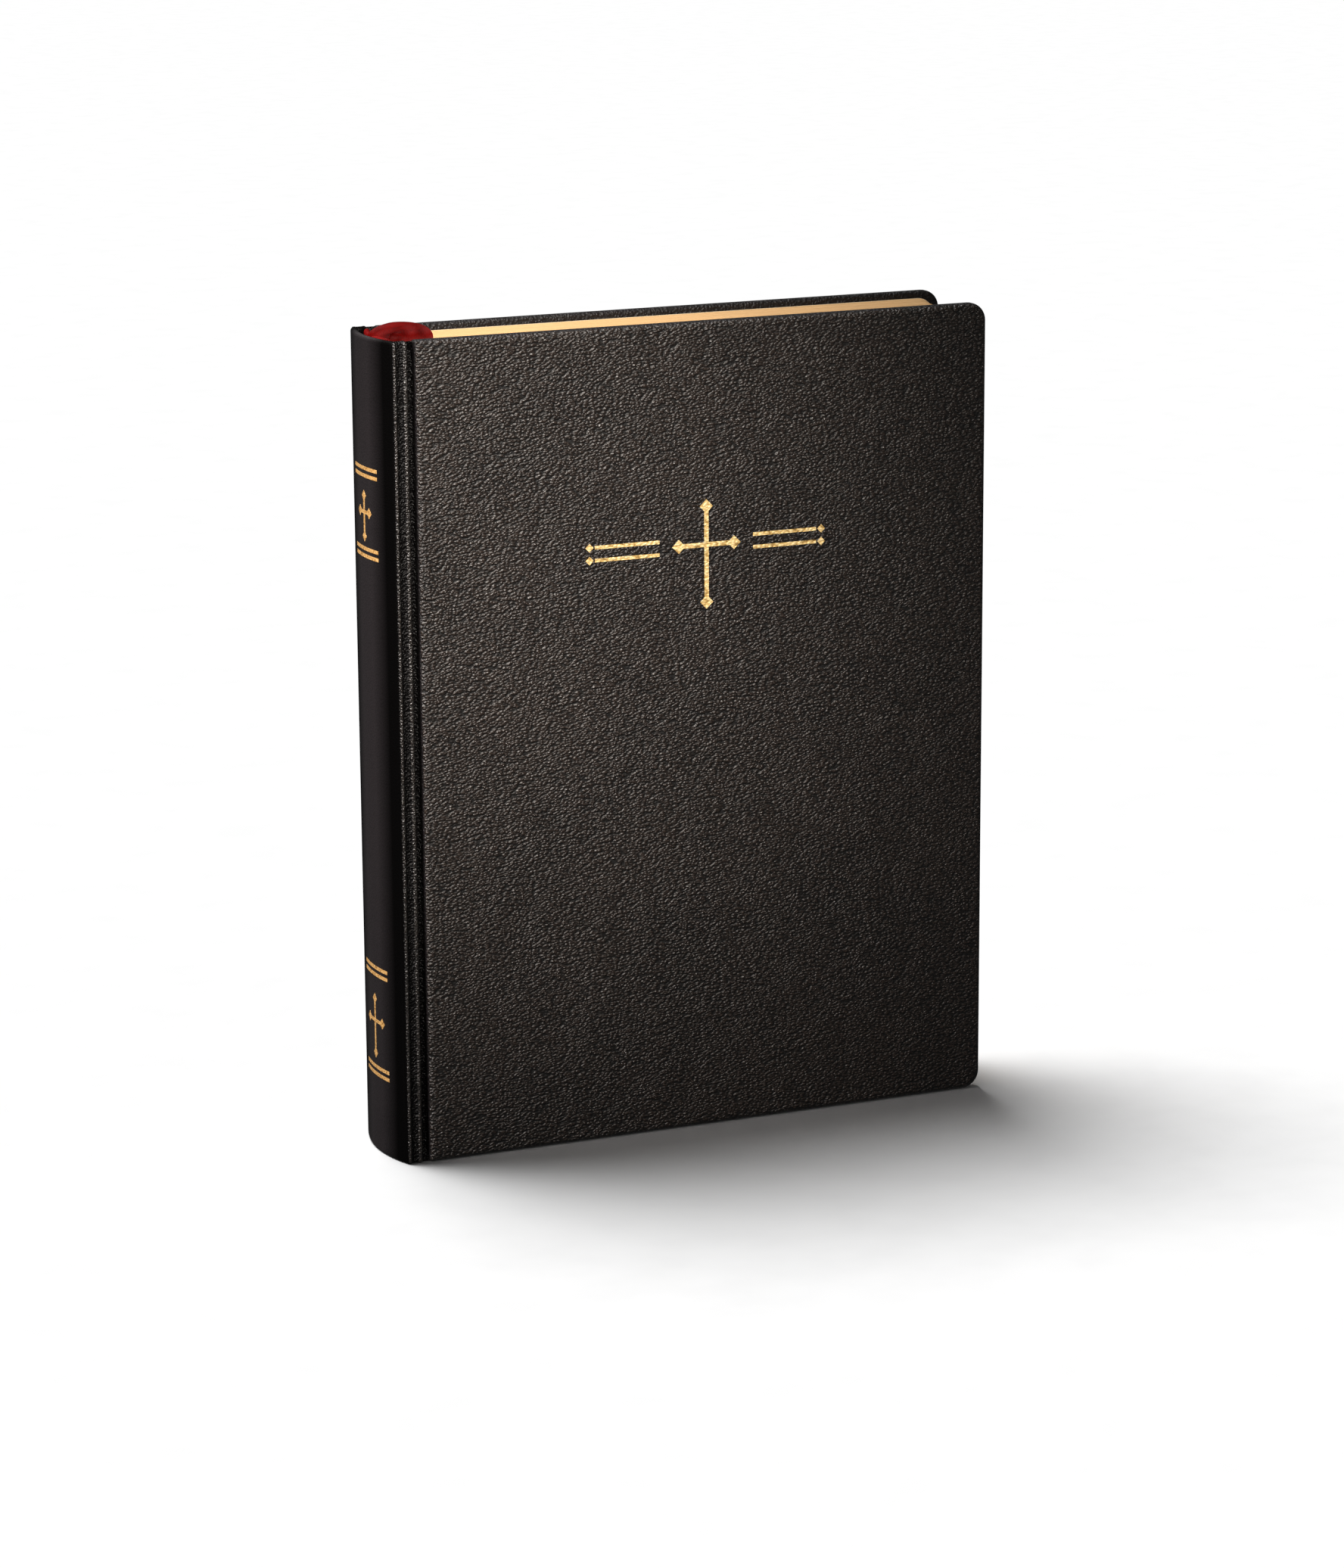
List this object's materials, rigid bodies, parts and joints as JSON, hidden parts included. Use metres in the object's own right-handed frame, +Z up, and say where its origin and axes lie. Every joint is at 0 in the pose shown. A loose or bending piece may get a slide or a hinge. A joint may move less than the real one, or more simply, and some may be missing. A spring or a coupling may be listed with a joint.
{
  "type": "bible",
  "caption": "Closed case-bound devotional book in grained black leather with gilt ornaments, cream pages, sewn bands and a red satin ribbon; covers and leaves turn on hinges.",
  "frame": {"origin": "middle of the footprint on the surface the book stands on", "axes": "+Z up the spine from tail to head, -Y out of the front cover, +X towards the fore-edge, so the spine faces -X"},
  "size_m": [0.161, 0.03, 0.2075],
  "materials": {
    "cover_leather": "pebble grain, satin",
    "greyboard": "matt",
    "gilt": "stamped gold foil",
    "endpaper": "matt",
    "page_paper": "matt, fine leaf edges",
    "linen_tape": "woven",
    "linen_thread": "waxed",
    "mull_cloth": "open weave",
    "lining_paper": "kraft",
    "silk_band": "wound silk",
    "ribbon_satin": "satin"
  },
  "bodies": {
    "text_block": {"section_02": "page_paper", "section_03": "page_paper", "section_04": "page_paper", "section_05": "page_paper", "section_06": "page_paper", "section_07": "page_paper", "section_08": "page_paper", "section_09": "page_paper", "section_10": "page_paper", "section_11": "page_paper", "section_12": "page_paper", "sewing_tapes": "linen_tape", "sewing_thread": "linen_thread", "mull": "mull_cloth", "spine_lining": "lining_paper", "head_band": "silk_band", "tail_band": "silk_band", "ribbon_marker": "ribbon_satin", "back_joint_leather": "cover_leather"},
    "front_pages": {"section_01": "page_paper", "front_joint_leather": "cover_leather"},
    "front_cover": {"front_board": "greyboard", "front_cover_leather": "cover_leather", "front_gilt_ornament": "gilt", "front_pastedown": "endpaper"},
    "front_flyleaf": {"front_flyleaf": "endpaper"},
    "back_cover": {"back_board": "greyboard", "back_cover_leather": "cover_leather", "back_pastedown": "endpaper"},
    "back_flyleaf": {"back_flyleaf": "endpaper"},
    "spine_case": {"spine_leather": "cover_leather", "spine_inlay": "greyboard", "spine_gilt_upper": "gilt", "spine_gilt_lower": "gilt"}
  },
  "joints": [
    {"name": "pages_open", "type": "hinge", "parent": "text_block", "child": "front_pages", "pos_m": [-0.07622, -0.009, 0], "axis": [0, 0, -1], "range_deg": [0, 40]},
    {"name": "front_cover_open", "type": "hinge", "parent": "front_pages", "child": "front_cover", "pos_m": [-0.0725, -0.0148, 0], "axis": [0, 0, -1], "range_deg": [0, 145], "deforming": ["front_joint_leather"]},
    {"name": "front_flyleaf_turn", "type": "hinge", "parent": "front_pages", "child": "front_flyleaf", "pos_m": [-0.0743, -0.0114, 0], "axis": [0, 0, -1], "range_deg": [0, 29]},
    {"name": "back_cover_open", "type": "hinge", "parent": "text_block", "child": "back_cover", "pos_m": [-0.0725, 0.0148, 0], "axis": [0, 0, 1], "range_deg": [0, 145], "deforming": ["back_joint_leather"]},
    {"name": "back_flyleaf_turn", "type": "hinge", "parent": "text_block", "child": "back_flyleaf", "pos_m": [-0.0743, 0.0114, 0], "axis": [0, 0, 1], "range_deg": [0, 29]},
    {"name": "spine_give", "type": "hinge", "parent": "text_block", "child": "spine_case", "pos_m": [-0.0737, 0.01475, 0], "axis": [0, 0, -1], "range_deg": [0, 8]}
  ],
  "couplings": [
    {"joint": "spine_give", "follows": "pages_open", "ratio": 0.19},
    {"joint": "front_flyleaf_turn", "follows": "front_cover_open", "ratio": 0.2},
    {"joint": "back_flyleaf_turn", "follows": "back_cover_open", "ratio": 0.2}
  ]
}
